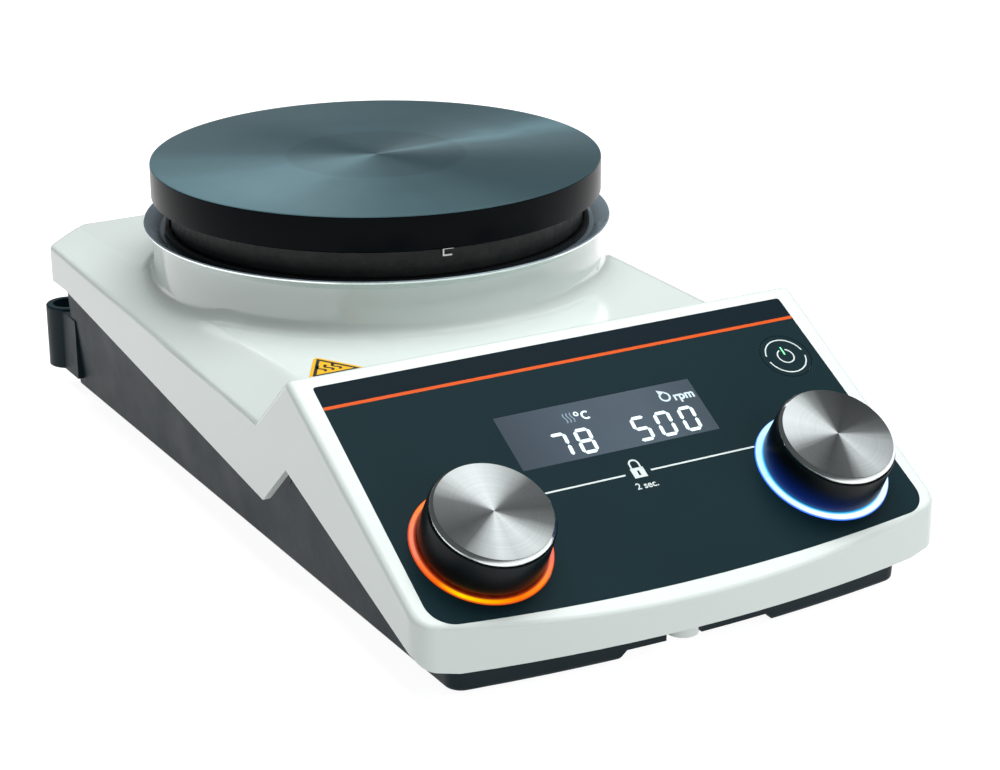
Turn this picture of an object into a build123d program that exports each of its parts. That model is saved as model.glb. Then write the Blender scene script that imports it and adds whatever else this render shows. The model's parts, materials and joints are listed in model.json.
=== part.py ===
from build123d import *
import os
from math import cos, radians, sin, sqrt, tan

os.makedirs("parts", exist_ok=True)

# Magnetic stirrer with a round heating plate. Millimetres.
# +X is the operator's right, +Y the back, +Z up; the feet stand on z = 0.
# The origin is under the middle of the footprint.

# ---- driving dimensions ----
depth = 309.0              # front of the cover to the back of the rod holder
half_w = 84.5              # half the width of the top cover
front_to_plate = 197.0     # front of the cover to the plate's axis
foot_h = 2.5               # feet below the housing
front_y = -depth / 2
back_y = depth / 2
plate_y = front_y + front_to_plate

# top cover
skin = 2.4                 # wall of the cover
rear_y = 136.0             # back of the cover
deck_z = 58.5              # flat deck under the plate
crease_x = 70.0            # where the deck turns down into its shoulders
edge_rear_z = 57.8         # side edge at the back
edge_slope = 0.0500        # fall of the side edge towards the front
notch_y = -45.9            # side edge meets the slope behind the panel
back_slope = radians(41.0)
tilt = radians(29.6)       # panel slope
crest_y = -68.0            # sharp crest between back slope and panel
bow_r = 361.0              # plan radius of the bowed front
base_bow_r = 480.0         # the same on the housing under it

# control panel, measured from the overlay's top edge down the slope
panel_y = -71.7
panel_z = 65.81
crest_z = panel_z + (crest_y - panel_y) * tan(tilt)
overlay_t = 0.8
knob_u = 55.6
knob_v = 63.2
power_u = 67.7
power_v = 22.1

# heating plate stack
plate_r = 72.5
plate_top = 95.4
plate_t = 11.7
plate_bottom = plate_top - plate_t
rim_r = 75.4               # steel trim ring
rim_z = 76.2
floor_z = 73.0             # dish floor of the trim ring
pan_r = 66.6               # speckled pan under the plate
collar_r = 72.2            # white collar under the trim ring

# stirring drive
shaft_r = 3.0
run_fit = 0.05             # radial clearance of a turning shaft

up = (Align.CENTER, Align.CENTER, Align.MIN)


def save(name, *solids):
    """Writes one node; repeated pieces share it."""
    shape = solids[0] if len(solids) == 1 else Compound(children=list(solids))
    export_step(shape, f"parts/{name}.step")


def disc(r, z0, z1):
    return Pos(0, 0, z0) * Cylinder(r, z1 - z0, align=up)


def ring(r_out, r_in, z0, z1):
    return disc(r_out, z0, z1) - disc(r_in, z0, z1)


def block(x0, x1, y0, y1, z0, z1):
    middle = Pos((x0 + x1) / 2, (y0 + y1) / 2, (z0 + z1) / 2)
    return middle * Box(x1 - x0, y1 - y0, z1 - z0)


def prism_x(points, x0, x1):
    """A side-view polygon of (y, z) corners, run across the width."""
    face = make_face(Polyline(*points, close=True))
    return Pos(x0, 0, 0) * extrude(Plane.YZ * face, x1 - x0)


def spun(points):
    """A polygon of (radius, z) corners, turned about Z."""
    return revolve(make_face(Plane.XZ * Polyline(*points, close=True)), Axis.Z)


def flank(x, radius=bow_r):
    """How far the bowed front falls back at x."""
    return radius - sqrt(radius**2 - x**2)


# ---- cover outline and masses ----
cham_y = 122.0             # rear corners are cut at an angle
cham_x = 67.5
front_corner_r = 6.5
rear_corner_r = 4.0
deck_round = 2.0
crest_round = 2.0
crest_tip_r = 2.2
crease_round = 5.0
collar_foot_r = 4.5
clip_angle = -8.5


def cover_plan():
    corner_y = front_y + flank(half_w)
    sides = Polyline(
        (-half_w, corner_y), (-half_w, cham_y), (-cham_x, rear_y),
        (cham_x, rear_y), (half_w, cham_y), (half_w, corner_y),
    )
    bow = ThreePointArc((half_w, corner_y), (0, front_y), (-half_w, corner_y))
    face = Sketch() + make_face(Curve() + [sides, bow])
    face = fillet(face.vertices().sort_by(Axis.Y)[:2], front_corner_r)
    return fillet(face.vertices().sort_by(Axis.Y)[-4:], rear_corner_r)


def side_edge_z(y):
    return edge_rear_z - (rear_y - y) * edge_slope


def shoulder_cut(t):
    """What the sloping shoulder takes off the right edge of the deck."""
    reach = 95.0
    sections = []
    for y in (rear_y + 15, crest_y - 15):
        flat = deck_z - t
        slope = (side_edge_z(y) - 1.15 * t - flat) / (half_w - crease_x)
        corners = [
            (crease_x, flat), (reach, flat + slope * (reach - crease_x)),
            (reach, flat + 6), (crease_x, flat + 6),
        ]
        sections.append(Plane.XZ.offset(-y) * make_face(Polyline(*corners, close=True)))
    return loft(sections, ruled=True)


def cover_mass(t):
    """The cover's outside, or for t above 0 the space under its skin."""
    low = -12.0
    plan = cover_plan()
    if t > 0:
        plan = offset(plan, -t)
    column = Pos(0, 0, low) * extrude(plan, 110)
    notch_z = side_edge_z(notch_y)
    crest_side = [
        (notch_y + (notch_z - low) / tan(back_slope), low), (crest_y, crest_z),
        (front_y - 8, crest_z - (crest_y - front_y + 8) * tan(tilt)), (front_y - 8, low),
    ]
    crest_face = Sketch() + make_face(Polyline(*crest_side, close=True))
    crest_face = fillet(crest_face.vertices().sort_by(Axis.X)[2:3], crest_tip_r)
    if t > 0:
        crest_face = offset(crest_face, -t, kind=Kind.INTERSECTION)
    crest = column & (Pos(-95, 0, 0) * extrude(Plane.YZ * crest_face, 190))
    deck = block(-95, 95, crest_y, rear_y + 5, low, deck_z - t)
    cut = shoulder_cut(t)
    deck = column & (deck - cut - mirror(cut, Plane.YZ))
    if t == 0:
        crest = round_top(crest, crest_round)
        creases = [e for e in deck.edges() if abs(abs(e.center().X) - crease_x) < 0.5 and e.length > 100]
        deck = fillet(creases, crease_round)
        deck = round_top(deck, deck_round)
    return deck + crest


def round_top(mass, radius):
    """Rounds the edges round the top faces, leaving upright and lowest edges sharp."""
    edges = []
    for e in mass.edges():
        ends = e.vertices()
        run = sqrt((ends[0].X - ends[1].X) ** 2 + (ends[0].Y - ends[1].Y) ** 2)
        c = e.center()
        outer = abs(c.X) > cham_x - 2 or c.Y > rear_y - 1 or c.Y < front_y + 12
        wall = abs(c.X) > half_w - 8 or c.Y > cham_y or c.Y < front_y + 13
        if run > 0.3 and c.Z > 14 and outer and wall:
            edges.append(e)
    return fillet(edges, radius)


lower_edge = [
    (150, 44.7), (108.5, 44.7), (-49.4, 25.7), (-66.1, 40.7), (-141.5, 14.4),
    (-147, 9.8), (-175, 9.8), (-175, 110), (150, 110),
]


def on_panel(u, v):
    """Frame on the panel: Z out of it, u to the right, v down its slope."""
    plane = Plane(origin=(0, panel_y, panel_z), x_dir=(1, 0, 0), z_dir=(0, -sin(tilt), cos(tilt)))
    return plane.location * Pos(u, -v, 0)


def on_rear(x, z):
    """Frame on the housing's back wall: Z out of it, Y up."""
    return Plane(origin=(x, wall_y, z), x_dir=(-1, 0, 0), z_dir=(0, 1, 0)).location


def bar(w, d, h0, h1):
    """A block standing from h0 to h1 on a local frame."""
    return Pos(0, 0, h0) * Box(w, d, h1 - h0, align=up)


def screw(head_r, head_t, r, length):
    """Head above z = 0, shank below it, with a cross-head recess."""
    recess = bar(head_r, 0.8, head_t / 2, head_t) + bar(0.8, head_r, head_t / 2, head_t)
    body = disc(head_r, 0, head_t) + disc(r, -length, 0)
    edge = body.edges().group_by(Axis.Z)[-1]
    return chamfer(edge, head_t / 5) - recess


# ---- positions shared by several pieces ----
axis_at = Pos(0, plate_y, 0)
wall_t = 2.5               # housing wall
wall_y = 134.4             # back wall of the housing
floor_top = foot_h + wall_t
centre_x = -4.0            # front screw boss in the lip's cut-out
feet_at = [(sx * 58, y) for sx in (-1, 1) for y in (-126, 112)]
tall_bosses = [(sx * 62, 121) for sx in (-1, 1)] + [(sx * 66, -30) for sx in (-1, 1)]
front_bosses = [(sx * 60, -134.5) for sx in (-1, 1)]
boss_joint = {"tall": 26.0, "front": 12.0}
motor_bosses = [(sx * 50, y) for sx in (-1, 1) for y in (30, 55)]
bracket_z = 36.0
bracket_t = 2.5
board_bosses = [(sx * 50, y) for sx in (-1, 1) for y in (-96, -46)]
board_z = 12.0
board_t = 1.6
display_board_h = -12.0
post_at = [(sx * 46, 18) for sx in (-1, 1)] + [(sx * 26, 68) for sx in (-1, 1)]
inlet_at = (32, 24)
switch_at = (-2, 24)
socket_at = (-32, 25)
rod_r = 7.5                # tube of the support rod holder
rod_x = -70.6
rod_y = back_y - rod_r
rod_z = 16.0
rod_top = 27.0
rod_foot = 5.1
rod_screw_z = (10.5, 21.5)
rod_screw_x = -65.2
thread_r = 1.25

# ---- housing: a drafted tray under the cover ----
base_bottom_w = 72.8
base_top_w = 76.6
base_front = -147.0
base_top_z = 46.0
base_front_r = 5.0         # plan radius of its front corners
base_rear_r = 2.5
base_foot_r = 1.2          # rounding of its bottom edge
rim_low = 1.3              # its rim hangs below the floor, short of the table
rim_w = 3.0


def base_plan(half, front, rear, inset):
    corner_y = front + flank(half, base_bow_r)
    sides = Polyline((-half, corner_y), (-half, rear), (half, rear), (half, corner_y))
    bow = ThreePointArc((half, corner_y), (0, front), (-half, corner_y))
    face = Sketch() + make_face(Curve() + [sides, bow])
    face = fillet(face.vertices().sort_by(Axis.Y)[:2], base_front_r - inset)
    return fillet(face.vertices().sort_by(Axis.Y)[-2:], max(base_rear_r - inset, 0.8))


def base_mass(inset, low):
    bottom = base_plan(base_bottom_w - inset, base_front + inset, wall_y - inset, inset)
    top = base_plan(base_top_w - inset, base_front - 1.5 + inset, wall_y - inset, inset)
    return loft([Pos(0, 0, low) * bottom, Pos(0, 0, 50) * top], ruled=True)


base_outside = base_mass(0, rim_low)
base_outside = fillet(base_outside.edges().group_by(Axis.Z)[0], base_foot_r)
side_view = [(140, 0), (140, base_top_z), (-72, base_top_z), (-141.5, 18.4), (-160, 11.4), (-160, 0)]
base = base_outside & prism_x(side_view, -95, 95)
base = base - base_mass(wall_t, floor_top)
base -= base_mass(rim_w, 0) & block(-95, 95, -160, 150, 0, foot_h)
inside_skin = Pos(0, 0, 40) * extrude(offset(cover_plan(), -skin - 0.15), 30)
base -= block(-95, 95, -160, 150, 43.4, 60) - inside_skin
for x, y in tall_bosses:
    base += Pos(x, y, 0) * disc(4.5, foot_h, boss_joint["tall"])
for x, y in front_bosses:
    base += Pos(x, y, 0) * disc(4.0, foot_h, boss_joint["front"])
for x, y in tall_bosses + front_bosses:
    base -= Pos(x, y, 0) * (disc(3.4, 0, 5.5) + disc(1.4, 0, 30))
for x, y in motor_bosses:
    base += Pos(x, y, 0) * ring(4.5, thread_r, floor_top - 1, bracket_z)
for x, y in board_bosses:
    base += Pos(x, y, 0) * ring(3.5, thread_r, floor_top - 1, board_z)
for x, y in feet_at:
    base -= Pos(x, y, 0) * disc(3.0, 0, floor_top)
# front lip: raised in the middle, with a finger-wide cut-out for the front screw
lip_z = foot_h + 1.3
lip = [(-26, 0), (-22, lip_z), (23.5, lip_z), (27.5, 0)]
lip_cut = extrude(Plane.XZ * make_face(Polyline(*lip, close=True)), 30)
base -= Pos(0, base_front + 27, 0) * lip_cut
base -= block(centre_x - 5.7, centre_x + 5.7, -160, -139.5, 0, 20)
# slanted relief on each flank behind the panel
for side in (-1, 1):
    groove = [(-30, -4), (-36.5, 14), (-52, 34), (-56.5, 32), (-42, 12), (-36, -4)]
    base -= prism_x(groove, side * 74.8 if side > 0 else -80, 80 if side > 0 else -74.8)
rear_cuts = on_rear(*inlet_at) * bar(27.2, 20, -8, 1)
rear_cuts += on_rear(*switch_at) * bar(13, 21, -8, 1)
rear_cuts += on_rear(*socket_at) * disc(6, -8, 1)
for z in rod_screw_z:
    rear_cuts += on_rear(rod_screw_x, z) * disc(thread_r, -8, 1)
base -= rear_cuts
save("base_housing", base)

# ---- top cover ----
seat_z = 72.0              # the trim ring lies on the collar's top
collar_foot = collar_r + 1.0
collar = spun([
    (0, 54), (collar_foot, 54), (collar_foot, 57), (collar_r, seat_z + 0.9),
    (collar_r - 1.2, seat_z), (0, seat_z),
])
cover = cover_mass(0) + axis_at * collar
foot_edges = []
for e in cover.edges():
    c = e.center()
    ends = e.vertices()
    reach = [sqrt(p.X**2 + (p.Y - plate_y) ** 2) for p in ends]
    low = max(p.Z for p in ends) < 62 and c.Z > 54.5
    if low and all(collar_r + 0.6 < d < collar_foot + 0.2 for d in reach):
        foot_edges.append(e)
cover = fillet(foot_edges, collar_foot_r)
cover = cover & prism_x(lower_edge, -95, 95)
bore = collar_r - 2.6
hollow = spun([(0, 40), (bore, 40), (bore, 69.5), (50, 69.5), (50, 90), (0, 90)])
cover = cover - cover_mass(skin) - axis_at * hollow
for x, y in tall_bosses:
    cover += Pos(x, y, 0) * ring(4.5, 1.4, boss_joint["tall"], 57)
for x, y in front_bosses:
    cover += Pos(x, y, 0) * ring(4.0, 1.4, boss_joint["front"], 27)
cover += Pos(centre_x, -146, 0) * (ring(4.5, 1.4, 5.0, 18.5) - disc(3.4, 4, 7.6))


def overlay_face():
    sides = Polyline((-80.0, -84.7), (-78.1, 0), (78.1, 0), (80.0, -84.7))
    bow = ThreePointArc((80.0, -84.7), (0, -89.8), (-80.0, -84.7))
    face = Sketch() + make_face(Curve() + [sides, bow])
    face = fillet(face.vertices().sort_by(Axis.Y)[:2], 8)
    return fillet(face.vertices().sort_by(Axis.Y)[-2:], 1)


front = on_panel(0, 0)
overlay = Pos(0, 0, -overlay_t) * extrude(overlay_face(), overlay_t)
cover -= front * overlay
for u, v in post_at:
    cover += on_panel(u, v) * disc(3, display_board_h, -2)
    cover -= on_panel(u, v) * disc(1.1, display_board_h, -4)
cover -= on_panel(0, 32.8) * bar(61, 16.5, -6, 1)
cover -= on_panel(power_u, power_v) * (disc(8.4, -1.6, 1) + disc(3.6, -6, 1))
for side in (-1, 1):
    cover -= on_panel(side * knob_u, knob_v) * disc(4.6, -6, 1)
standoffs_at = [axis_at * Rot(0, 0, a) * Pos(0, 58.5, 0) for a in (30, 150, 270)]
for spot in standoffs_at:
    cover -= spot * disc(2.0, 60, 80)
save("top_cover", cover)

window = bar(64.8, 19.8, -overlay_t, -0.05)
window = fillet(window.edges().filter_by(Axis.Z), 1.0)
overlay -= Pos(0, -32.8, 0) * bar(65, 20, -2, 1)
overlay -= Pos(power_u, -power_v, 0) * disc(8.2, -2, 1)
for side in (-1, 1):
    overlay -= Pos(side * knob_u, -knob_v, 0) * disc(20.1, -2, 1)
save("front_overlay", front * overlay)
save("display_window", on_panel(0, 32.8) * window)
module = bar(70, 26, -6.8, -2.4) + bar(60, 15.5, -2.4, -0.9)
save("display_module", on_panel(0, 32.8) * module)

# ---- boards and their small parts ----
board_face = Pos(0, -22) * Rectangle(146, 24) + Pos(0, -52) * Rectangle(130, 44)
display_board = Pos(0, 0, display_board_h - board_t) * extrude(board_face, board_t)
for u, v in post_at:
    display_board -= Pos(u, -v, 0) * disc(1.1, -20, 0)
save("display_board", front * display_board)
under = Rot(180, 0, 0)
board_screw = under * screw(2.2, 1.4, 1.1, 8.5)
places = [on_panel(u, v) * Pos(0, 0, display_board_h - board_t) for u, v in post_at]
save("display_board_screws", *[spot * board_screw for spot in places])
main_board = Pos(0, -71, board_z) * Box(112, 62, board_t, align=up)
for x, y in board_bosses:
    main_board -= Pos(x, y, 0) * disc(thread_r, 0, 30)
save("main_board", main_board)
main_screw = screw(2.4, 1.6, thread_r, 8)
board_top = board_z + board_t
save("main_board_screws", *[Pos(x, y, board_top) * main_screw for x, y in board_bosses])
core = Pos(-26, -66, board_top) * (bar(34, 14, 0, 22) + bar(20, 28, 3, 19))
cans = [Pos(x, -58, board_top) * disc(6.5, 0, 17) for x in (6, 22)]
relay = Pos(36, -80, board_top) * bar(20, 16, 0, 15)
terminals = Pos(-4, -94, board_top) * bar(30, 9, 0, 10)
save("board_components", core, *cans, relay, terminals)

# ---- knobs, their encoders and light rings ----
for name, side in (("temp", -1), ("speed", 1)):
    spot = on_panel(side * knob_u, knob_v)
    body = spun([
        (0, 10.0), (3.0, 10.0), (3.0, 2.4), (6.0, 2.4), (6.0, 10.4), (15.8, 10.4),
        (15.8, 1.4), (18.1, 1.4), (17.6, 11.8), (17.0, 12.4), (0, 12.4),
    ])
    save(f"{name}_knob_body", spot * body)
    cap = spun([(0, 12.4), (16.6, 12.4), (17.4, 12.9), (17.4, 13.6), (16.7, 14.3), (0, 14.3)])
    save(f"{name}_knob_cap", spot * cap)
    glow = ring(20.0, 6.5, -overlay_t, 0) + ring(20.0, 17.0, -overlay_t, 0.5)
    save(f"{name}_light_ring", spot * glow)
    case = bar(13, 13, display_board_h, -6.2) + disc(4.5, -6.2, 0.2)
    case -= disc(shaft_r + run_fit, -9, 1) + disc(4.2, -11.4, -8.4)
    save(f"{name}_encoder_body", spot * case)
    save(f"{name}_encoder_plunger", spot * disc(3.8, -10.2, -9.0))
    save(f"{name}_encoder_shaft", spot * disc(shaft_r, -9.0, 10.0))

# ---- power key on the panel ----
power = on_panel(power_u, power_v)
save("power_button", power * (disc(8.0, -overlay_t, 0) + disc(3.2, -4.4, -overlay_t)))
save("power_switch", power * (bar(7, 7, display_board_h, -6.5) + disc(1.8, -6.5, -5.0)))

# ---- heating plate stack ----
plate = spun([
    (0, plate_bottom), (70.9, plate_bottom), (plate_r, plate_bottom + 1.0),
    (plate_r, plate_top - 0.9), (plate_r - 0.9, plate_top), (0, plate_top),
])
save("heating_plate", axis_at * plate)
trim = spun([
    (51, seat_z), (collar_r - 1.2, seat_z), (collar_r, seat_z + 0.9), (rim_r, rim_z - 0.8),
    (rim_r, rim_z - 0.3), (rim_r - 0.3, rim_z), (70.3, floor_z), (51, floor_z),
])
seal = spun([(66.8, floor_z), (68.8, floor_z), (68.8, 74.4), (68.2, 75), (67.4, 75), (66.8, 74.4)])
pan = spun([
    (0, 74.2), (66.0, 74.2), (pan_r, 74.8), (pan_r, plate_bottom), (pan_r - 1.2, plate_bottom),
    (pan_r - 1.2, 75.4), (0, 75.4),
])
wool = disc(64.5, 75.4, 80.2)
trim = axis_at * trim
pan = axis_at * pan
wool = axis_at * wool
for spot in standoffs_at:
    trim -= spot * disc(2.0, 60, 80)
    pan -= spot * disc(3.3, 70, 80)
    wool -= spot * disc(3.3, 70, 85)
sensor_at = Pos(0, plate_y + 12, 0)
wool -= sensor_at * disc(1.8, 70, 85)
save("trim_ring", trim)
save("plate_seal", axis_at * seal)
save("plate_pan", pan)
save("insulation_disc", wool)
save("heater_element", axis_at * ring(54, 28, 80.2, plate_bottom))
save("plate_sensor", sensor_at * disc(1.6, 76, plate_bottom))
standoff = disc(3.0, floor_z, plate_bottom) + disc(2.0, 65.5, floor_z)
save("plate_standoffs", *[spot * standoff for spot in standoffs_at])
nut = extrude(RegularPolygon(4.0, 6), 3.0) - disc(2.0, -1, 4)
save("standoff_nuts", *[spot * Pos(0, 0, 66.5) * nut for spot in standoffs_at])
clip = block(-1.5, 1.5, -68.6, -pan_r, 82.9, plate_bottom) + block(-1.5, -1.0, -67.4, -pan_r, 80.4, 83)
clip += block(-1.5, 1.5, -67.4, -pan_r, 80.4, 80.9)
turns = [Rot(0, 0, clip_angle + a) for a in (0, 120, 240)]
save("plate_clips", *[axis_at * turn * clip for turn in turns])

# ---- stirring drive ----
motor = disc(31, 8, bracket_z) - disc(29.5, 10, 34)
motor += disc(10.5, 8, 14) + disc(10.5, 31, bracket_z + bracket_t)
motor -= disc(8, 9.5, 13) + disc(8, 33, 60) + disc(5, 9.5, 60)
save("motor_housing", axis_at * motor)
bearings = [ring(8, shaft_r + run_fit, z, z + 3.5) for z in (9.5, 33)]
save("motor_bearings", *[axis_at * b for b in bearings])
save("motor_stator", axis_at * ring(29.5, 20, 15.5, 29))
save("motor_rotor", axis_at * ring(19.4, shaft_r, 15.5, 29))
save("motor_shaft", axis_at * disc(shaft_r, 10, 66))
bracket = block(-56, 56, 22, 63, bracket_z, bracket_z + bracket_t)
bracket = fillet(bracket.edges().filter_by(Axis.Z), 5)
bracket -= axis_at * disc(10.5, 30, 40)
for x, y in motor_bosses:
    bracket -= Pos(x, y, 0) * disc(thread_r, 30, 40)
motor_screw_at = [axis_at * Rot(0, 0, a) * Pos(16, 0, 0) for a in (45, 135, 225, 315)]
for spot in motor_screw_at:
    bracket -= spot * disc(thread_r, 30, 40)
save("motor_bracket", bracket)
bracket_screw = screw(2.6, 2.0, thread_r, 10)
places = [Pos(x, y, bracket_z + bracket_t) for x, y in motor_bosses]
save("bracket_screws", *[spot * bracket_screw for spot in places])
short = screw(2.4, 1.8, thread_r, 2.5)
save("motor_screws", *[spot * Pos(0, 0, bracket_z + bracket_t) * short for spot in motor_screw_at])
carrier = disc(44, 62, 67) & block(-50, 50, -15, 15, 60, 70)
carrier = carrier + disc(9, 54, 62) - disc(shaft_r, 50, 66)
save("magnet_carrier", axis_at * carrier)
save("stir_magnets", *[axis_at * Pos(sx * 29, 0, 0) * disc(11, 67, 72.4) for sx in (-1, 1)])

# ---- feet and housing screws ----
foot = spun([
    (0, 0), (7.2, 0), (8.0, 0.8), (8.0, foot_h), (3.0, foot_h), (3.0, floor_top),
    (3.7, floor_top), (2.6, floor_top + 2), (0, floor_top + 2),
])
save("rubber_feet", *[Pos(x, y, 0) * foot for x, y in feet_at])
long_screw = under * screw(3.2, 2.4, 1.4, 32)
front_screw = under * screw(3.2, 2.4, 1.4, 16)
centre_screw = under * screw(3.2, 2.4, 1.4, 8)
screws = [Pos(x, y, 5.5) * long_screw for x, y in tall_bosses]
screws += [Pos(x, y, 5.5) * front_screw for x, y in front_bosses]
screws.append(Pos(centre_x, -146, 7.6) * centre_screw)
save("housing_screws", *screws)

# ---- back wall: mains inlet, mains switch, sensor socket ----
inlet = bar(31, 24, 0, 2.2)
inlet = fillet(inlet.edges().filter_by(Axis.Z), 2) + bar(27.2, 20, -20, 0) - bar(24.4, 16.4, -17, 5)
save("power_inlet", on_rear(*inlet_at) * inlet)
pins = [Pos(x, y, 0) * bar(2.0, 4.0, -17, -3.2) for x, y in ((-7, -1.5), (7, -1.5), (0, 2.5))]
save("inlet_pins", *[on_rear(*inlet_at) * p for p in pins])
frame = bar(16.4, 24, 0, 1.6)
frame = fillet(frame.edges().filter_by(Axis.Z), 1.5) + bar(13, 21, -16, 0)
frame -= bar(11.2, 18.2, -9, 5)
pivot = Pos(0, 0, -1.9)
across = Rot(0, 90, 0)
frame -= pivot * across * disc(1.2 + run_fit, -6.4, 6.4)
save("mains_switch_frame", on_rear(*switch_at) * frame)
rocker_side = [(7.6, 4.2), (0, 2.6), (-7.6, 4.2), (-7.9, -1.0), (-4.5, -3.5), (4.5, -3.5), (7.9, -1.0)]
rocker = extrude(Plane.YZ * make_face(Polyline(*rocker_side, close=True)), 5.3, both=True)
rocker += across * disc(1.2, -6.3, 6.3)
save("mains_rocker", on_rear(*switch_at) * pivot * Rot(8, 0, 0) * rocker)
socket = disc(8, 0, 2) + disc(6, -12, 0) - disc(4.3, -9, 5)
save("sensor_socket", on_rear(*socket_at) * socket)

# ---- support rod holder at the back left corner ----
tube = disc(rod_r, rod_foot, rod_top)
tube = Pos(rod_x, rod_y, 0) * fillet(tube.edges().group_by(Axis.Z)[-1], 0.6)
web = block(rod_x - 4.5, rod_x + 10, 128, rod_y, rod_foot, rod_top - 0.8)
boss = Pos(rod_x, rod_y, rod_z) * across * disc(5.5, 0, 14)
rod_holder = tube + web + boss - base_outside
rod_holder -= Pos(rod_x, rod_y, 0) * disc(5.1, 0, 40)
rod_holder -= Pos(rod_x, rod_y, rod_z) * across * disc(shaft_r + run_fit, 0, 20)
for z in rod_screw_z:
    rod_holder -= on_rear(rod_screw_x, z) * disc(thread_r, -1, 6.5)
save("rod_holder", rod_holder)
holder_screw = under * screw(2.0, 1.6, thread_r, 9)
places = [on_rear(rod_screw_x, z) * Pos(0, 0, -wall_t) for z in rod_screw_z]
save("rod_holder_screws", *[spot * holder_screw for spot in places])
clamp = Pos(rod_x, rod_y, rod_z) * across
save("rod_clamp_pad", clamp * disc(2.8, 5.3, 7.0))
thumb = disc(shaft_r, 7.0, 17.0) + disc(5.6, 16.0, 22.0)
for i in range(12):
    thumb -= Rot(0, 0, 30 * i) * Pos(6.0, 0, 0) * disc(0.8, 15, 23)
save("rod_clamp_screw", clamp * thumb)

# ---- hot surface sticker on the deck ----
side_len = 19.0
height = side_len * sqrt(3) / 2
corners = [(-side_len / 2, -height), (side_len / 2, -height), (0, 0)]
label = Sketch() + make_face(Polyline(*corners, close=True))
label = extrude(fillet(label.vertices(), 1.2), 0.15)
save("warning_sticker", Pos(-58.2, -30.5, deck_z) * label)
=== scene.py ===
import json
import math

import bpy
from mathutils import Matrix, Vector


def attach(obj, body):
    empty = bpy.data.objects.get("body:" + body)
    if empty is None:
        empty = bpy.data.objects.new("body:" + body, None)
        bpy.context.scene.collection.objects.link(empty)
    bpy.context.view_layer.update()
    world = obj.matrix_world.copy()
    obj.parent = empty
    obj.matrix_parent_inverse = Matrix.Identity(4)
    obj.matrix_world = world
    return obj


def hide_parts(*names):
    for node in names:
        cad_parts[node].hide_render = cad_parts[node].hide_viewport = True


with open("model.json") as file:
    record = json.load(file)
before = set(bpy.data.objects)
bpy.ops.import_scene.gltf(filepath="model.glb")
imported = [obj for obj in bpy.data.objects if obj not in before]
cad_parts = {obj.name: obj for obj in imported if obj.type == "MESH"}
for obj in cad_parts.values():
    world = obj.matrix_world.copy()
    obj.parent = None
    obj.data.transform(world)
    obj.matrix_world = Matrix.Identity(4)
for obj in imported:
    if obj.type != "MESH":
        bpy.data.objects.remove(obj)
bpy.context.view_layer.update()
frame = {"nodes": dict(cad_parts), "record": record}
nodes = frame["nodes"]
MM = 0.001

# ---------------------------------------------------------------- materials


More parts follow.
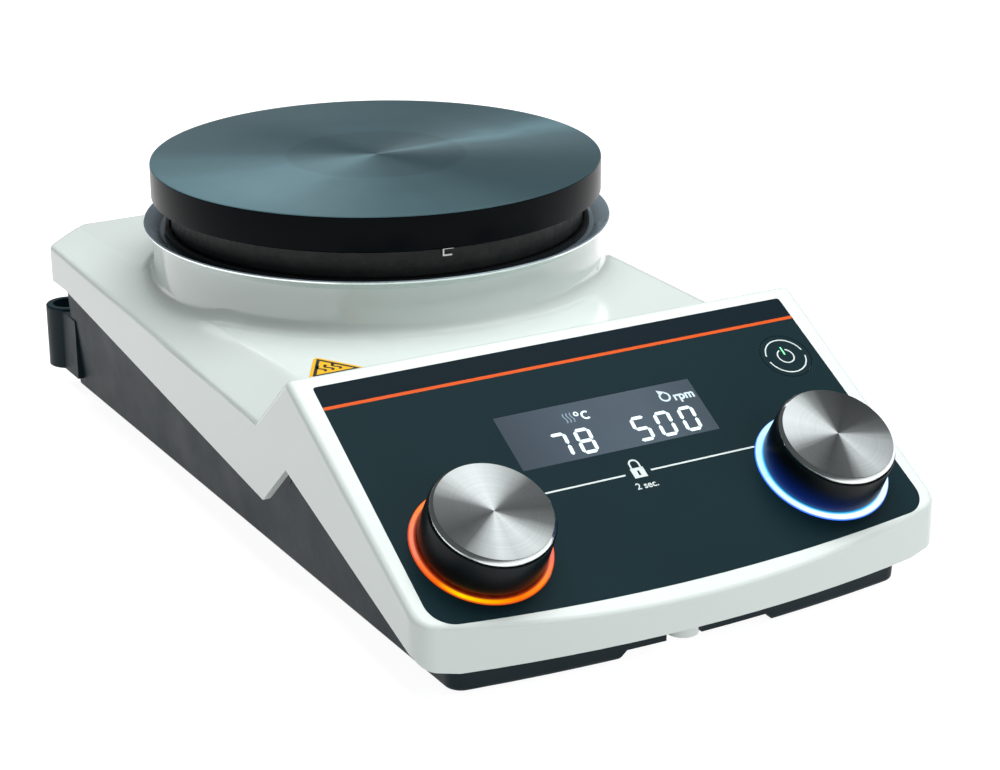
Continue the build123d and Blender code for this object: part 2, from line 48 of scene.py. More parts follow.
class Graph:
    """A short way to write shader nodes."""

    def __init__(self, name):
        self.material = bpy.data.materials.new(name)
        self.material.use_nodes = True
        self.tree = self.material.node_tree
        self.shader = self.tree.nodes["Principled BSDF"]
        self.coords = self.add("ShaderNodeTexCoord").outputs["Object"]

    def add(self, kind, **settings):
        node = self.tree.nodes.new(kind)
        for key, value in settings.items():
            setattr(node, key, value)
        return node

    def link(self, source, target):
        self.tree.links.new(source, target)

    def value(self, node, name, value):
        if isinstance(value, (int, float, tuple, list)):
            node.inputs[name].default_value = value
        else:
            self.link(value, node.inputs[name])

    def set(self, **inputs):
        """Sets the shader's own sockets to constants."""
        for key, value in inputs.items():
            self.shader.inputs[key.replace("_", " ")].default_value = value

    def noise(self, scale, detail=3.0, vector=None):
        node = self.add("ShaderNodeTexNoise")
        self.link(vector or self.coords, node.inputs["Vector"])
        node.inputs["Scale"].default_value = scale
        node.inputs["Detail"].default_value = detail
        node.inputs["Roughness"].default_value = 0.55
        return node.outputs["Fac"]

    def math(self, kind, a, b=0.0, clamp=False):
        node = self.add("ShaderNodeMath", operation=kind, use_clamp=clamp)
        self.value(node, 0, a)
        self.value(node, 1, b)
        return node.outputs[0]

    def span(self, fac, low, high, source=(0.3, 0.7)):
        """Maps a 0.3 to 0.7 noise onto low to high."""
        node = self.add("ShaderNodeMapRange")
        self.link(fac, node.inputs["Value"])
        node.inputs["From Min"].default_value = source[0]
        node.inputs["From Max"].default_value = source[1]
        node.inputs["To Min"].default_value = low
        node.inputs["To Max"].default_value = high
        return node.outputs["Result"]

    def ramp(self, fac, stops):
        node = self.add("ShaderNodeValToRGB")
        self.link(fac, node.inputs["Fac"])
        band = node.color_ramp
        while len(band.elements) < len(stops):
            band.elements.new(0.5)
        for element, (place, color) in zip(band.elements, stops):
            element.position = place
            element.color = (*color, 1.0)
        return node.outputs["Color"]

    def mix(self, fac, a, b, blend="MIX"):
        node = self.add("ShaderNodeMix", data_type="RGBA", blend_type=blend)
        self.value(node, 0, fac)
        for index, value in ((6, a), (7, b)):
            if isinstance(value, tuple):
                value = (*value[:3], 1.0)
            self.value(node, index, value)
        return node.outputs[2]

    def axes(self):
        parts = self.add("ShaderNodeSeparateXYZ")
        self.link(self.coords, parts.inputs[0])
        return parts.outputs

    def vector(self, x, y, z):
        node = self.add("ShaderNodeCombineXYZ")
        for index, value in enumerate((x, y, z)):
            self.value(node, index, value)
        return node.outputs[0]

    def radius(self):
        x, y, _ = self.axes()
        return self.math("SQRT", self.math("ADD", self.math("MULTIPLY", x, x), self.math("MULTIPLY", y, y)))

    def bump(self, height, distance):
        node = self.add("ShaderNodeBump")
        node.inputs["Strength"].default_value = 1.0
        node.inputs["Distance"].default_value = distance
        self.link(height, node.inputs["Height"])
        return node.outputs["Normal"]

    def angle(self):
        x, y, _ = self.axes()
        return self.math("ARCTAN2", y, x)

    def glow(self, color, strength):
        self.link(color, self.shader.inputs["Emission Color"])
        self.shader.inputs["Emission Strength"].default_value = strength

    def finish(self, color=None, rough=None, normal=None):
        if color is not None:
            self.link(color, self.shader.inputs["Base Color"])
        if rough is not None:
            self.link(rough, self.shader.inputs["Roughness"])
        if normal is not None:
            self.link(normal, self.shader.inputs["Normal"])
        return self.material


def shade(color, factor):
    return tuple(min(1.0, c * factor) for c in color)


def moulded(name, color, rough, vary=0.06, tint=0.05, grain=2600, depth=0.00003, coat=0.0, coat_rough=0.08,
            specular=0.5, broad=28):
    """Injection-moulded plastic or paint: faint mottling, uneven gloss and a fine moulded grain."""
    g = Graph(name)
    g.set(Specular_IOR_Level=specular, Coat_Weight=coat, Coat_Roughness=coat_rough)
    base = g.mix(g.span(g.noise(broad, 4), 0, 1), shade(color, 1 - tint), shade(color, 1 + tint))
    gloss = g.span(g.noise(broad * 2.3, 5), rough - vary, rough + vary)
    return g.finish(base, gloss, g.bump(g.noise(grain, 2), depth))


def metal(name, color, rough, vary=0.08, tint=0.08, stretch=(1, 1, 1), grain=900, depth=0.00001,
          metallic=1.0):
    """Metal with a drawn or blasted grain."""
    g = Graph(name)
    g.set(Metallic=metallic)
    place = g.add("ShaderNodeMapping")
    g.link(g.coords, place.inputs["Vector"])
    place.inputs["Scale"].default_value = stretch
    grain_map = g.noise(grain, 3, vector=place.outputs[0])
    base = g.mix(g.span(grain_map, 0, 1), shade(color, 1 - tint), shade(color, 1 + tint))
    return g.finish(base, g.span(g.noise(60, 4), rough - vary, rough + vary), g.bump(grain_map, depth))


def turned(name, color, rough, aniso, pitch, depth, metallic=1.0, tint=0.06, ring=0.0, vary=0.04, rays=None):
    """A face turned on a lathe: concentric lay round the piece's own axis.

    rays lists (degrees, brightness). It paints the sheen's sectors, which don't follow the lights.
    ring is the radius, in metres, of a slightly darker middle."""
    g = Graph(name)
    g.set(Metallic=metallic, Anisotropic=aniso, Anisotropic_Rotation=0.25)
    tangent = g.add("ShaderNodeTangent", direction_type="RADIAL", axis="Z")
    g.link(tangent.outputs[0], g.shader.inputs["Tangent"])
    r = g.radius()
    x, y, _ = g.axes()
    angle = g.math("ARCTAN2", y, x)
    along = g.math("MULTIPLY", angle, 0.35)
    lay = g.noise(1.0, 2, vector=g.vector(g.math("MULTIPLY", r, pitch), along, 0.0))
    broad = g.noise(2.0, 2, vector=g.vector(g.math("MULTIPLY", r, pitch / 14), 0.0, 0.0))
    wear = g.noise(45, 4)
    mixed = g.math("ADD", g.math("MULTIPLY", lay, 0.6), g.math("MULTIPLY", broad, 0.4))
    base = g.mix(g.span(mixed, 0, 1), shade(color, 1 - tint), shade(color, 1 + tint))
    if ring:
        inner = g.span(r, 1.0, 0.0, (ring - 0.0003, ring + 0.0003))
        base = g.mix(g.math("MULTIPLY", inner, 0.5), base, shade(color, 0.72))
    if rays:
        reach = g.math("MAXIMUM", r, 0.00001)
        across, ahead = g.math("DIVIDE", x, reach), g.math("DIVIDE", y, reach)
        around = g.vector(across, ahead, g.math("MULTIPLY", r, 12.0))
        shift = g.span(g.noise(3.2, 3, vector=around), -0.012, 0.012)
        turn = g.math("ADD", g.span(angle, 0.0, 1.0, (-math.pi, math.pi)), shift)
        sheen = g.ramp(turn, [((a + 180) / 360, (f, f, f)) for a, f in rays])
        base = g.mix(1.0, base, sheen, "MULTIPLY")
    gloss = g.span(wear, rough - vary, rough + vary)
    return g.finish(base, gloss, g.bump(lay, depth))


COVER = (0.545, 0.600, 0.580)
SLATE = (0.0035, 0.0125, 0.018)
CHARCOAL = (0.0045, 0.0155, 0.0195)

mats = {
    "cover_white": moulded("cover_white", COVER, 0.16, vary=0.02, tint=0.010, grain=900, depth=0.000003,
                           coat=0.5, coat_rough=0.05),
    "housing_plastic": moulded("housing_plastic", SLATE, 0.46, vary=0.05, tint=0.10, grain=3200,
                               depth=0.00004,
                                specular=0.16),
    "overlay_film": moulded("overlay_film", CHARCOAL, 0.42, vary=0.01, tint=0.04, grain=5200,
                            depth=0.000006,
                            specular=0.08),
    "overlay_band": moulded("overlay_band", (0.0015, 0.0070, 0.0115), 0.40, vary=0.01, grain=5200,
                            depth=0.000006,
                            specular=0.12),
    "print_orange": moulded("print_orange", (0.50, 0.065, 0.004), 0.45, vary=0.03, tint=0.03, grain=4200,
                            depth=0.00001, specular=0.2),
    "print_white": moulded("print_white", (0.50, 0.56, 0.56), 0.5, vary=0.03, tint=0.03, grain=4200,
                           depth=0.00001, specular=0.2),
    "sticker_yellow": moulded("sticker_yellow", (0.60, 0.34, 0.010), 0.42, vary=0.04, tint=0.04,
                              grain=3000,
                              depth=0.00001, specular=0.3),
    "sticker_black": moulded("sticker_black", (0.012, 0.013, 0.013), 0.45, vary=0.04, grain=3000,
                             depth=0.00001),
    "display_black": moulded("display_black", (0.02, 0.03, 0.04), 0.25),
    "board_green": moulded("board_green", (0.02, 0.13, 0.05), 0.35, tint=0.25, grain=700, depth=0.00008),
    "steel_screw": metal("steel_screw", (0.55, 0.55, 0.56), 0.32, grain=1500),
    "component_black": moulded("component_black", (0.02, 0.02, 0.022), 0.45, tint=0.15, grain=2200),
    # trim_steel and trim_edge are two copies of the ring's one polished steel. Both are painted reflections:
    # blue-grey on the dish, pale on the underside and lip.
    "trim_steel": metal("trim_steel", (0.30, 0.38, 0.43), 0.14, vary=0.02, tint=0.03, grain=1400,
                        depth=0.000001,
                        metallic=0.45),
    "trim_edge": metal("trim_edge", (0.84, 0.90, 0.88), 0.18, vary=0.02, tint=0.03, grain=1400,
                       depth=0.000001),
    "seal_rubber": moulded("seal_rubber", (0.005, 0.006, 0.007), 0.42, vary=0.08, grain=1800,
                           depth=0.00003),
    "insulation": moulded("insulation", (0.55, 0.52, 0.46), 0.9, tint=0.2, grain=1200, depth=0.0003),
    "heater_metal": metal("heater_metal", (0.28, 0.27, 0.26), 0.5, grain=700, depth=0.00005),
    "motor_metal": metal("motor_metal", (0.42, 0.42, 0.43), 0.35, stretch=(1, 1, 6)),
    "winding_copper": metal("winding_copper", (0.60, 0.28, 0.14), 0.3, stretch=(1, 1, 12), grain=500),
    "bracket_aluminium": metal("bracket_aluminium", (0.72, 0.73, 0.74), 0.3, stretch=(1, 14, 1)),
    "foot_rubber": moulded("foot_rubber", (0.012, 0.012, 0.013), 0.75, tint=0.15, grain=1500,
                           depth=0.0001),
    "pin_brass": metal("pin_brass", (0.80, 0.64, 0.36), 0.22),
    "knob_black": moulded("knob_black", (0.006, 0.010, 0.012), 0.36, vary=0.05, grain=3600,
                          depth=0.00002),
}


def pan_material():
    """Dark enamel with fine light and dark specks."""
    g = Graph("pan_speckled")
    g.set(Specular_IOR_Level=0.35)
    cells = g.add("ShaderNodeTexVoronoi")
    g.link(g.coords, cells.inputs["Vector"])
    cells.inputs["Scale"].default_value = 1900
    specks = g.span(cells.outputs["Distance"], 1.0, 0.0, (0.05, 0.32))
    sparse = g.math("MULTIPLY", specks, g.span(g.noise(420, 3), 0.0, 1.0, (0.46, 0.62)), clamp=True)
    base = g.mix(g.span(g.noise(130, 5), 0, 1), (0.016, 0.018, 0.017), (0.026, 0.028, 0.026))
    base = g.mix(g.math("MULTIPLY", sparse, 0.5), base, (0.12, 0.13, 0.12))
    return g.finish(base, g.span(g.noise(500), 0.42, 0.62), g.bump(cells.outputs["Distance"], 0.00005))


def display_material():
    """Backlit lens: a blue-grey panel that fades darker towards both ends. This fading is a painted
    reflection in its colour and glow; the glow itself is the backlight.
    """
    g = Graph("display_glass")
    x, y, _ = g.axes()
    along = g.span(x, 0.0, 1.0, (-0.0324, 0.0324))
    # painted reflection: lightest right of the middle, darker towards both ends
    painted_reflection_fade = g.ramp(along, [
        (0.0, (0.032, 0.055, 0.080)), (0.35, (0.058, 0.095, 0.135)),
        (0.7, (0.070, 0.110, 0.150)), (1.0, (0.042, 0.072, 0.100)),
    ])
    haze = g.mix(g.span(g.noise(60, 3), 0, 1), (0.94, 0.94, 0.94), (1.0, 1.0, 1.0))
    color = g.mix(1.0, painted_reflection_fade, haze, "MULTIPLY")
    g.set(Specular_IOR_Level=0.35)
    g.glow(color, 0.50)
    dark = g.mix(1.0, color, (0.25, 0.25, 0.25), "MULTIPLY")
    return g.finish(dark, g.span(g.noise(300, 3), 0.2, 0.26), g.bump(g.noise(2500, 2), 0.000002))


def lit_material(name, color, strength):
    """A lit mark: faint cloudiness in the light it gives off."""
    g = Graph(name)
    cloud = g.mix(g.span(g.noise(900, 3), 0, 1), shade(color, 0.92), color)
    g.glow(cloud, strength)
    g.set(Specular_IOR_Level=0.2)
    dark = g.mix(1.0, cloud, (0.3, 0.3, 0.3), "MULTIPLY")
    return g.finish(dark, g.span(g.noise(1500), 0.35, 0.45), g.bump(g.noise(3000, 2), 0.000003))


def ring_material(name, stops, inner, outer, strength, bright_from):
    """Light guide: its colour runs round the ring, and it is dim next to the knob."""
    g = Graph(name)
    turn = g.span(g.angle(), 0.0, 1.0, (-math.pi, math.pi))
    around = g.ramp(turn, stops)
    r = g.radius()
    color = g.mix(g.span(r, 0.0, 1.0, (bright_from, bright_from + 0.0005)), inner, around)
    color = g.mix(g.span(r, 0.0, 1.0, (0.01965, 0.0200)), color, outer)
    color = g.mix(g.span(r, 1.0, 0.0, (bright_from - 0.0006, bright_from)), color, shade(inner, 0.12))
    color = g.mix(g.span(g.noise(500, 3), 0.0, 0.12), color, shade(outer, 0.8))
    g.glow(color, strength)
    g.set(Specular_IOR_Level=0.2)
    return g.finish(g.mix(1.0, color, (0.2, 0.2, 0.2), "MULTIPLY"), g.span(g.noise(900), 0.3, 0.4),
                    g.bump(g.noise(2500, 2), 0.000003))


def skirt_material(name, color, reach, side, strength):
    """Black knob skirt whose foot glows with the light ring's colour on one side: painted light, the ring's
    glow on the skirt given off by the skirt itself.
    """
    g = Graph(name)
    g.set(Specular_IOR_Level=0.14)
    x, y, z = g.axes()
    low = g.span(z, 1.0, 0.0, (0.0014, reach))
    low = g.math("MULTIPLY", low, low, clamp=True)
    across = g.math("ADD", g.math("MULTIPLY", x, side[0]), g.math("MULTIPLY", y, side[1]))
    facing = g.span(across, 0.0, 1.0, (-0.002, 0.019))
    # painted light from the ring: strongest low down and on one side
    light = g.math("MULTIPLY", low, facing, clamp=True)
    g.glow(g.mix(light, (0.0, 0.0, 0.0), color), strength)
    base = g.mix(g.span(g.noise(70, 4), 0, 1), (0.0016, 0.0036, 0.0050), (0.0022, 0.0050, 0.0066))
    return g.finish(base, g.span(g.noise(160, 4), 0.30, 0.38), g.bump(g.noise(3600, 2), 0.000015))


mats["pan_speckled"] = pan_material()
mats["display_glass"] = display_material()
mats["digit_light"] = lit_material("digit_light", (0.78, 0.97, 1.0), 1.05)
mats["icon_light"] = lit_material("icon_light", (0.62, 0.76, 0.82), 0.8)
mats["icon_dim"] = lit_material("icon_dim", (0.30, 0.42, 0.50), 0.45)
mats["power_green"] = lit_material("power_green", (0.25, 1.0, 0.45), 1.1)
mats["light_warm"] = ring_material(
    "light_warm",
    [(0.0, (0.86, 0.20, 0.07)), (0.07, (1.0, 0.16, 0.003)), (0.13, (1.0, 0.75, 0.0)),
     (0.19, (1.0, 0.50, 0.0)), (0.26, (1.0, 0.20, 0.0)), (0.34, (1.0, 0.26, 0.0)),
     (0.42, (0.80, 0.16, 0.11)), (0.5, (0.74, 0.14, 0.11)), (0.85, (1.0, 0.22, 0.03)),
     (0.93, (0.80, 0.22, 0.13))],
    (0.30, 0.025, 0.008), (0.70, 0.07, 0.004), 1.0, 0.0184)
mats["light_cool"] = ring_material(
    "light_cool",
    [(0.0, (0.55, 0.86, 1.0)), (0.2, (0.85, 0.95, 1.0)), (0.5, (0.55, 0.85, 1.0)),
     (0.9, (0.45, 0.80, 1.0))],
    (0.06, 0.50, 1.0), (0.02, 0.16, 0.90), 1.25, 0.0179)
mats["skirt_warm"] = skirt_material("skirt_warm", (0.60, 0.055, 0.01), 0.0030, (-0.5, -0.85), 0.30)
mats["skirt_cool"] = skirt_material("skirt_cool", (0.002, 0.035, 0.34), 0.0100, (-0.95, -0.3), 0.55)
# The plate's rays are painted sheen: brightness sectors in its colour round its axis.
mats["plate_coated"] = turned(
    "plate_coated", (0.130, 0.245, 0.285), 0.42, 0.9, 5200, 0.0000006, metallic=0.6, ring=0.029, vary=0.02,
    rays=[(-179.9, 1.0), (-158, 1.0), (-130, 0.68), (-100, 0.46), (-40, 0.46), (-8, 0.60), (3, 1.0),
          (14, 0.60), (30, 0.48), (100, 0.40), (145, 0.56), (165, 0.85), (179.9, 1.0)])
mats["plate_side"] = moulded("plate_side", (0.001, 0.0022, 0.003), 0.26, vary=0.01, grain=2400,
                             depth=0.000004, specular=0.05)
# Painted sheen of the two spun caps: (degrees, brightness) sectors in their colour round each cap's axis.
LEFT_RAYS = [
    (-179.9, 0.16), (-165, 0.13), (-150, 0.20), (-132, 0.62), (-110, 0.95), (-90, 0.80), (-70, 0.92),
    (-48, 0.62), (-30, 0.22), (-5, 0.13), (20, 0.18), (42, 0.60), (60, 0.82), (85, 1.0), (115, 0.85),
    (135, 0.42), (152, 0.20), (179.9, 0.16),
]
RIGHT_RAYS = [
    (-179.9, 0.55), (-168, 0.22), (-135, 0.10), (-108, 0.16), (-92, 0.55), (-70, 0.95), (-45, 0.85),
    (-22, 0.80), (-6, 0.30), (20, 0.12), (50, 0.10), (80, 0.15), (98, 0.42), (118, 0.90), (145, 1.0),
    (165, 0.90), (179.9, 0.55),
]
for cap_name, rays in (("cap_temp", LEFT_RAYS), ("cap_speed", RIGHT_RAYS)):
    mats[cap_name] = turned(cap_name, (0.86, 0.93, 0.93), 0.30, 0.8, 6500, 0.0000003, tint=0.10,
                            vary=0.02, rays=rays)
mats["cap_steel"] = mats["cap_temp"]
mats["cap_bevel"] = turned("cap_bevel", (0.74, 0.78, 0.77), 0.16, 0.5, 9000, 0.0000004, vary=0.02)

# ---------------------------------------------------------------- mesh tools


SHARP_ANGLE = math.radians(35.0)


def build(name, verts, faces, material, matrix=None):
    """A mesh from points in millimetres, smooth except across its sharp edges."""
    mesh = bpy.data.meshes.new(name)
    mesh.from_pydata([Vector(v) * MM for v in verts], [], faces)
    mesh.validate()
    mesh.shade_smooth()
    mesh.set_sharp_from_angle(angle=SHARP_ANGLE)
    obj = bpy.data.objects.new(name, mesh)
    bpy.context.scene.collection.objects.link(obj)
    if matrix is not None:
        obj.matrix_world = matrix
    for m in material if isinstance(material, list) else [material]:
        mesh.materials.append(m)
    return obj


def rounded(corners, steps=6):
    """A polyline of (a, b, radius) corners with each corner turned into an arc."""
    points = []
    for i, (a, b, r) in enumerate(corners):
        here = Vector((a, b))
        if not r or i in (0, len(corners) - 1):
            points.append((a, b))
            continue
        back = (Vector(corners[i - 1][:2]) - here).normalized()
        ahead = (Vector(corners[i + 1][:2]) - here).normalized()
        half = back.angle(ahead) / 2
        reach = r / math.tan(half)
        centre = here + (back + ahead).normalized() * (r / math.sin(half))
        start = here + back * reach - centre
        end = here + ahead * reach - centre
        turn = start.angle_signed(end)
        for k in range(steps + 1):
            spun = start.copy()
            spun.rotate(Matrix.Rotation(-turn * k / steps, 2))
            points.append(tuple(centre + spun))
    return points


def lathe(name, profile, material, matrix, steps=160, slots=None, body="housing"):
    """Turns (radius, height) points about local Z. slots(r, z) picks the material of a band."""
    verts, faces, tags = [], [], []
    rows = []
    for r, z in profile:
        if r < 1e-6:
            rows.append([len(verts)])
            verts.append((0, 0, z))
            continue
        rows.append([len(verts) + k for k in range(steps)])
        for k in range(steps):
            a = 2 * math.pi * k / steps
            verts.append((r * math.cos(a), r * math.sin(a), z))
    for i in range(len(rows) - 1):
        lower, upper = rows[i], rows[i + 1]
        mid = [(profile[i][j] + profile[i + 1][j]) / 2 for j in (0, 1)]
        tag = slots(*mid) if slots else 0
        for k in range(steps):
            n = (k + 1) % steps
            if len(lower) == 1 and len(upper) == 1:
                continue
            if len(lower) == 1:
                faces.append((lower[0], upper[k], upper[n]))
            elif len(upper) == 1:
                faces.append((lower[k], upper[0], lower[n]))
            else:
                faces.append((lower[k], upper[k], upper[n], lower[n]))
            tags.append(tag)
    obj = build(name, verts, faces, material, matrix)
    obj.data.polygons.foreach_set("material_index", tags)
    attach(obj, body)
    return obj


def flat(name, shapes, material, matrix, height=0.0, body="housing"):
    """Flat marks: each shape is an outline of (x, y) points at one height."""
    verts, faces = [], []
    for shape in shapes:
        faces.append(tuple(range(len(verts), len(verts) + len(shape))))
        verts += [(x, y, height) for x, y in shape]
    obj = build(name, verts, faces, material, matrix)
    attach(obj, body)
    return obj


def stroke(points, width):
    """Outlines of a line drawn through the points, one four-sided shape per step."""
    edges = []
    for i, (x, y) in enumerate(points):
        a, b = points[max(i - 1, 0)], points[min(i + 1, len(points) - 1)]
        along = Vector((b[0] - a[0], b[1] - a[1])).normalized() * width / 2
        edges.append(((x - along.y, y + along.x), (x + along.y, y - along.x)))
    return [[edges[i][1], edges[i + 1][1], edges[i + 1][0], edges[i][0]] for i in range(len(edges) - 1)]


def arc(cx, cy, r, start, end, steps=48):
    turns = [math.radians(start + (end - start) * k / steps) for k in range(steps + 1)]
    return [(cx + r * math.cos(a), cy + r * math.sin(a)) for a in turns]


def wave(x, y, height, swing, steps=14):
    """An upright S of rising heat."""
    return [(x + swing * math.sin(2 * math.pi * k / steps), y + height * k / steps) for k in range(steps + 1)]


def lettering(name, text, size, place, material, matrix, height, bold=0.0):
    """Generic wording, set in the built-in font and turned into a mesh."""
    curve = bpy.data.curves.new(name, "FONT")
    curve.body = text
    curve.size = size * MM
    curve.align_x = "CENTER"
    curve.align_y = "CENTER"
    curve.offset = bold * MM
    curve.resolution_u = 6
    temporary = bpy.data.objects.new(name + "_text", curve)
    mesh = bpy.data.meshes.new_from_object(temporary)
    bpy.data.objects.remove(temporary)
    mesh.name = name
    obj = bpy.data.objects.new(name, mesh)
    bpy.context.scene.collection.objects.link(obj)
    obj.matrix_world = matrix @ Matrix.Translation((place[0] * MM, place[1] * MM, height * MM))
    mesh.materials.clear()
    mesh.materials.append(material)
    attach(obj, "housing")
    return obj


TILT = math.radians(29.6)
PANEL_ORIGIN = Vector((0, -71.7, 65.81))
PANEL = Matrix((
    (1, 0, 0, 0),
    (0, math.cos(TILT), -math.sin(TILT), PANEL_ORIGIN.y * MM),
    (0, math.sin(TILT), math.cos(TILT), PANEL_ORIGIN.z * MM),
    (0, 0, 0, 1),
))
PLATE_Y = 42.5
AXIS = Matrix.Translation((0, PLATE_Y * MM, 0))
KNOB_U, KNOB_V = 55.6, 63.2


def on_panel(u, v):
    return PANEL @ Matrix.Translation((u * MM, -v * MM, 0))


# ---------------------------------------------------------------- heating plate

plate_profile = rounded([
    (0, 83.7, 0), (70.6, 83.7, 0), (71.0, 84.3, 0.3), (72.5, 84.3, 0.5), (72.5, 95.39, 0.5), (29.3, 95.39, 0),
    (29.0, 95.37, 0), (0, 95.37, 0),
])
PLATE_FACE = 95.15         # above this the plate shows its turned face
plate = lathe("heating_plate_turned", plate_profile, [mats["plate_coated"], mats["plate_side"]], AXIS,
              steps=256, slots=lambda r, z: 0 if z > PLATE_FACE else 1)
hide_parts("heating_plate")

trim_profile = rounded([
    (51, 72, 0), (71.0, 72, 0.2), (72.2, 72.9, 0.3), (75.4, 75.4, 0.2), (75.4, 75.9, 0.1),
    (75.1, 76.2, 0.1), (70.3, 73.0, 1.2), (51, 73.0, 0), (51, 72, 0),
])


def trim_band(r, z):
    """The flare's underside and outer lip are brighter than its dish. The dish's half-diffuse blue-grey is a
    painted reflection, and the brighter copy of the same steel on the underside and lip is a painted
    reflection of the white cover.
    """
    underside = r > 72 and z < 73.35 + (r - 72.2) * 0.78
    return 1 if underside or r > 75.3 else 0


trim = lathe("trim_ring_polished", trim_profile, [mats["trim_steel"], mats["trim_edge"]], AXIS, steps=256,
             slots=trim_band)
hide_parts("trim_ring")

seal_profile = rounded([
    (66.8, 73.0, 0), (68.8, 73.0, 0), (68.8, 75.0, 0.8), (66.8, 75.0, 0.6), (66.8, 73.0, 0),
])
seal = lathe("plate_seal_moulded", seal_profile, mats["seal_rubber"], AXIS, steps=256)
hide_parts("plate_seal")

# ---------------------------------------------------------------- knobs and light rings

CAP_FACE = 14.26           # above this the cap shows its spun face
KNOBS = (("temp", -KNOB_U, "skirt_warm", "light_warm"), ("speed", KNOB_U, "skirt_cool", "light_cool"))
for label, u, skirt, light in KNOBS:
    spot = on_panel(u, KNOB_V)
    shell_profile = rounded([
        (6.0, 2.4, 0), (6.0, 10.4, 0), (15.8, 10.4, 0), (15.8, 1.4, 0.3), (18.1, 1.4, 0.6),
        (17.75, 12.4, 0.45), (17.45, 12.4, 0.1), (17.45, 12.0, 0), (0, 12.0, 0),
    ])
    shell = lathe(label + "_knob_skirt", shell_profile, mats[skirt], spot, body=label + "_knob")
    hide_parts(label + "_knob_body")
    cap_profile = rounded([
        (0, 12.05, 0), (17.25, 12.05, 0), (17.3, 13.2, 0.12), (16.4, 14.28, 0.12), (0, 14.28, 0),
    ], steps=3)
    cap = lathe(label + "_cap_spun", cap_profile, [mats["cap_" + label], mats["cap_bevel"]], spot, steps=224,
                slots=lambda r, z: 0 if z > CAP_FACE else 1, body=label + "_knob")
    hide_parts(label + "_knob_cap")
    guide_profile = rounded([
        (6.5, -0.8, 0), (20.0, -0.8, 0), (20.0, 0.45, 0.4), (17.3, 0.45, 0.4), (17.0, 0.0, 0), (6.5, 0.0, 0),
        (6.5, -0.8, 0),
    ])
    guide = lathe(label + "_light_guide", guide_profile, mats[light], spot, steps=224)
    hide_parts(label + "_light_ring")

# ---------------------------------------------------------------- display

DIGIT_W = 5.4
DIGIT_H = 9.2
DIGIT_STROKE = 1.15
SEGMENTS = {
    "a": ((0, 2), (1, 2)), "b": ((1, 2), (1, 1)), "c": ((1, 1), (1, 0)), "d": ((0, 0), (1, 0)),
    "e": ((0, 1), (0, 0)), "f": ((0, 2), (0, 1)), "g": ((0, 1), (1, 1)),
}
LIT = {"7": "abc", "8": "abcdefg", "5": "afgcd", "0": "abcdef"}


def segment(a, b, width, gap):
    """A six-sided bar between two corners of a digit."""
    a, b = Vector(a), Vector(b)
    along = (b - a).normalized()
    side = Vector((-along.y, along.x)) * width / 2
    a = a + along * gap
    b = b - along * gap
    tip = along * width / 2
    return [tuple(p) for p in (a, a + tip + side * -1, b - tip - side, b, b - tip + side, a + tip + side)]


def digit(character, u, v):
    """Outlines of one seven-segment figure with its lower left corner at (u, v)."""
    shapes = []
    for name in LIT[character]:
        ends = []
        for i, j in SEGMENTS[name]:
            x = DIGIT_STROKE / 2 + i * (DIGIT_W - DIGIT_STROKE)
            y = DIGIT_STROKE / 2 + j * (DIGIT_H - DIGIT_STROKE) / 2
            ends.append((u + x + 0.07 * y, -v + y))
        shapes.append(segment(*ends, DIGIT_STROKE, 0.13))
    return shapes


PANEL_FACE = on_panel(0, 0)
lens_outline = [(-32.4, 9.9), (-32.4, -9.9), (32.4, -9.9), (32.4, 9.9)]
lens_verts = [(x, y, h) for h in (-0.8, -0.05) for x, y in lens_outline]
lens_faces = [(0, 3, 2, 1), (4, 5, 6, 7)] + [(k, (k + 1) % 4, (k + 1) % 4 + 4, k + 4) for k in range(4)]
lens = build("display_lens", lens_verts, lens_faces, mats["display_glass"], on_panel(0, 32.8))
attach(lens, "housing")
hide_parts("display_window")

figures = []
for character, u in (("7", -20.2), ("8", -12.4), ("5", 6.2), ("0", 14.1), ("0", 22.2)):
    figures += digit(character, u, 41.6)
flat("display_figures", figures, mats["digit_light"], PANEL_FACE, 0.0)
heat = []
for k in range(3):
    heat += stroke(wave(-11.6 + k * 1.15, -29.8, 3.5, 0.28), 0.42)
flat("display_heat_mark", heat, mats["icon_dim"], PANEL_FACE, 0.0)
degree = stroke(arc(-7.7, -27.2, 0.62, 0, 360, 24), 0.42) + stroke(arc(-4.9, -28.2, 1.25, 50, 310, 24), 0.62)
flat("display_degree_c", degree, mats["digit_light"], PANEL_FACE, 0.0)
turn_mark = stroke(arc(21.9, -27.7, 1.55, -245, 75, 36), 0.62)
turn_mark.append([(20.3, -24.9), (22.6, -25.9), (20.5, -27.2)])
flat("display_turn_mark", turn_mark, mats["icon_light"], PANEL_FACE, 0.0)
lettering("display_rpm", "rpm", 4.2, (27.9, -28.4), mats["icon_light"], PANEL_FACE, 0.0, bold=0.14)

# ---------------------------------------------------------------- prints on the overlay

PRINT_H = 0.03


def overlay_edge(v):
    """Half the overlay's width at v, less a hair."""
    return 78.1 + 1.9 * v / 84.7 - 0.15


LINE_TOP, LINE_LOW = 7.6, 8.7
top, low = overlay_edge(LINE_TOP), overlay_edge(LINE_LOW)
band = [
    (-77.0, -0.1), (-77.95, -1.0), (-top, -LINE_TOP), (top, -LINE_TOP), (77.95, -1.0), (77.0, -0.1),
]
flat("overlay_dark_band", [band], mats["overlay_band"], PANEL_FACE, PRINT_H)
line = [(-low, -LINE_LOW), (low, -LINE_LOW), (top, -LINE_TOP), (-top, -LINE_TOP)]
flat("overlay_orange_line", [line], mats["print_orange"], PANEL_FACE, PRINT_H)

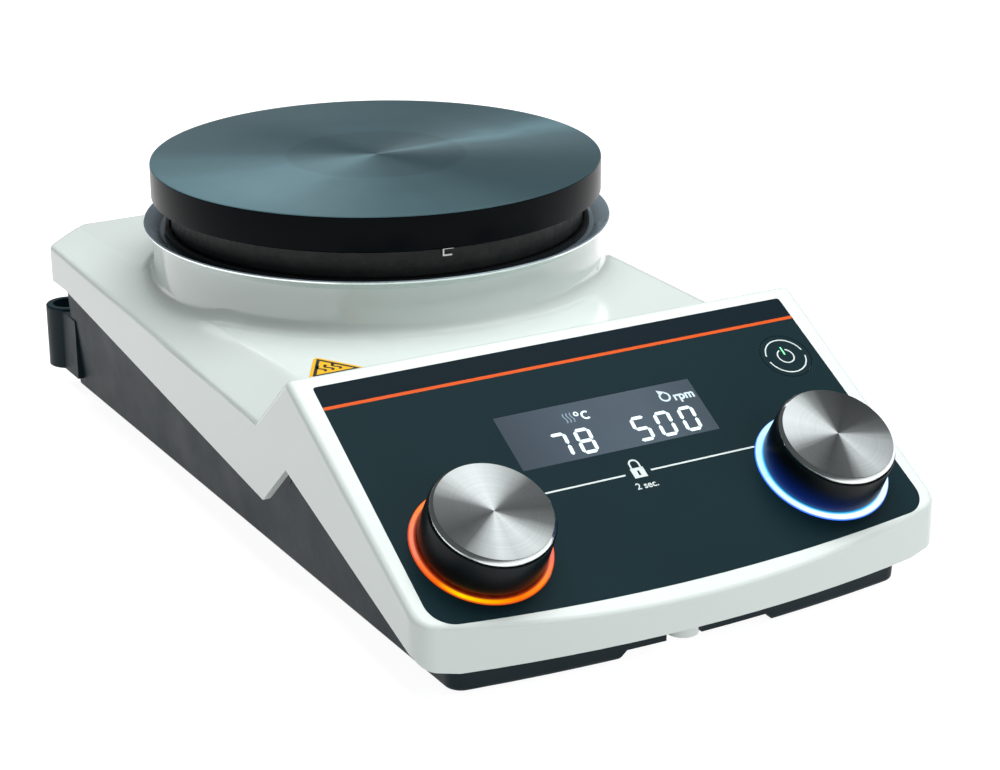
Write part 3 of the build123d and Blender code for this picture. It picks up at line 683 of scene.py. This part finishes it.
marks = []
for side in (-1, 1):
    marks += stroke([(side * 4.2, -51.5), (side * 39.2, -51.5)], 0.55)
marks += stroke([(-1.25, -50.0)] + arc(0.2, -48.4, 1.45, 180, 0, 16) + [(1.65, -50.0)], 0.55)
body_top, body_low = -49.7, -53.3
marks += [[(-1.9, body_low), (-0.15, body_low), (-0.15, body_top), (-1.9, body_top)],
          [(0.55, body_low), (2.3, body_low), (2.3, body_top), (0.55, body_top)],
          [(-0.15, body_low), (0.55, body_low), (0.55, -52.5), (-0.15, -52.5)],
          [(-0.15, -50.8), (0.55, -50.8), (0.55, body_top), (-0.15, body_top)]]
flat("overlay_lock_marks", marks, mats["print_white"], PANEL_FACE, PRINT_H)
lettering("overlay_hold_time", "2 sec.", 3.1, (0.4, -56.2), mats["print_white"], PANEL_FACE, PRINT_H,
          bold=0.05)

POWER = on_panel(67.7, 22.1)
power_marks = stroke(arc(0, 0, 6.35, 10, 170), 0.42) + stroke(arc(0, 0, 6.35, 190, 350), 0.42)
power_marks += stroke(arc(0, 0, 2.6, 112, 428), 0.42)
flat("power_key_marks", power_marks, mats["print_white"], POWER, PRINT_H, body="power_key")
flat("power_key_light", stroke([(0, 0.55), (0, 3.6)], 0.5), mats["power_green"], POWER, PRINT_H + 0.01,
     body="power_key")

# ---------------------------------------------------------------- hot surface sticker

STICKER = Matrix.Translation((-58.2 * MM, -30.5 * MM, 58.65 * MM))
SIDE = 19.0


def triangle(inset):
    """Corners of the sticker's triangle, moved in by inset on every side."""
    height = SIDE * math.sqrt(3) / 2
    middle = -height * 2 / 3
    reach = height * 2 / 3 - 2 * inset
    turns = [math.radians(a) for a in (90, 210, 330)]
    return [(reach * math.cos(a), middle + reach * math.sin(a)) for a in turns]


outer, inner = triangle(1.0), triangle(2.0)
border = [[outer[k], outer[(k + 1) % 3], inner[(k + 1) % 3], inner[k]] for k in range(3)]
for k in range(3):
    border += stroke(wave(-2.6 + 2.4 * k, -12.9, 4.6, 0.75), 0.85)
    border.append([(-3.5 + 2.4 * k, -8.7), (-1.9 + 2.4 * k, -8.7), (-2.7 + 2.4 * k, -7.3)])
flat("sticker_marks", border, mats["sticker_black"], STICKER, 0.02)

# ---------------------------------------------------------------- give CAD nodes their finish

slot_of = {s["node"]: s["material_slot"] for s in frame["record"]["subparts"]}
for node_name, obj in nodes.items():
    slot = slot_of[node_name]
    obj.data.materials.clear()
    obj.data.materials.append(mats[slot])

# ---------------------------------------------------------------- stage, light, camera


def floor():
    g = Graph("floor_paper")
    g.set(Specular_IOR_Level=0.1)
    base = g.mix(g.span(g.noise(3, 3), 0, 1), (0.24, 0.24, 0.24), (0.26, 0.26, 0.26))
    g.glow(g.mix(g.span(g.noise(3, 3), 0, 1), (0.98, 0.98, 0.98), (1.0, 1.0, 1.0)), 0.95)
    material = g.finish(base, g.span(g.noise(14, 3), 0.75, 0.9), g.bump(g.noise(700, 2), 0.00002))
    size, drop = 6000, -0.4
    corners = [(-size, -size, drop), (size, -size, drop), (size, size, drop), (-size, size, drop)]
    obj = build("studio_floor", corners, [(0, 1, 2, 3)], material)


def area(name, place, target, width, height, power):
    """A soft box at place, aimed at target. Metres and watts."""
    light = bpy.data.lights.new(name, "AREA")
    light.shape = "RECTANGLE"
    light.size = width
    light.size_y = height
    light.energy = power
    obj = bpy.data.objects.new(name, light)
    bpy.context.scene.collection.objects.link(obj)
    direction = Vector(target) - Vector(place)
    obj.matrix_world = Matrix.Translation(place) @ direction.to_track_quat("-Z", "Y").to_matrix().to_4x4()
    return obj


floor()
world = bpy.data.worlds.new("studio")
bpy.context.scene.world = world
world.use_nodes = True
world.node_tree.nodes["Background"].inputs["Color"].default_value = (0.90, 0.96, 1.0, 1.0)
world.node_tree.nodes["Background"].inputs["Strength"].default_value = 0.10

soft_top = area("soft_top", (0.22, 0.0, 1.6), (0, 0, 0.05), 1.4, 1.4, 51)
soft_top.visible_glossy = False
soft_front = area("soft_front", (0.9, -1.5, 0.9), (0, 0, 0.05), 1.2, 1.0, 10)
soft_front.visible_glossy = False
plate_card = area("plate_card", (0.50, 1.42, 0.90), (0, 0.04, 0.09), 0.30, 0.5, 1.2)
plate_card.visible_diffuse = False
knob_card = area("knob_card", (0.60, 0.10, 1.50), (0, -0.12, 0.04), 1.4, 0.9, 4.5)
knob_card.visible_diffuse = False

scene = bpy.context.scene
scene.view_settings.view_transform = "Standard"
camera_data = bpy.data.cameras.new("camera")
camera_data.lens = 91.25
camera_data.sensor_width = 36.0
camera_data.clip_start = 0.05
camera = bpy.data.objects.new("camera", camera_data)
scene.collection.objects.link(camera)
azimuth, elevation, roll = (math.radians(a) for a in (-29.3, 20.14, -0.36))
level = math.cos(elevation)
back = Vector((math.sin(azimuth) * level, -math.cos(azimuth) * level, math.sin(elevation)))
right = Vector((0, 0, 1)).cross(back).normalized()
above = back.cross(right)
turn = Matrix((right, above, back)).transposed().to_4x4() @ Matrix.Rotation(roll, 4, "Z")
camera.matrix_world = Matrix.Translation(Vector((-353.3, -667.74, 306.31)) * MM) @ turn
scene.camera = camera
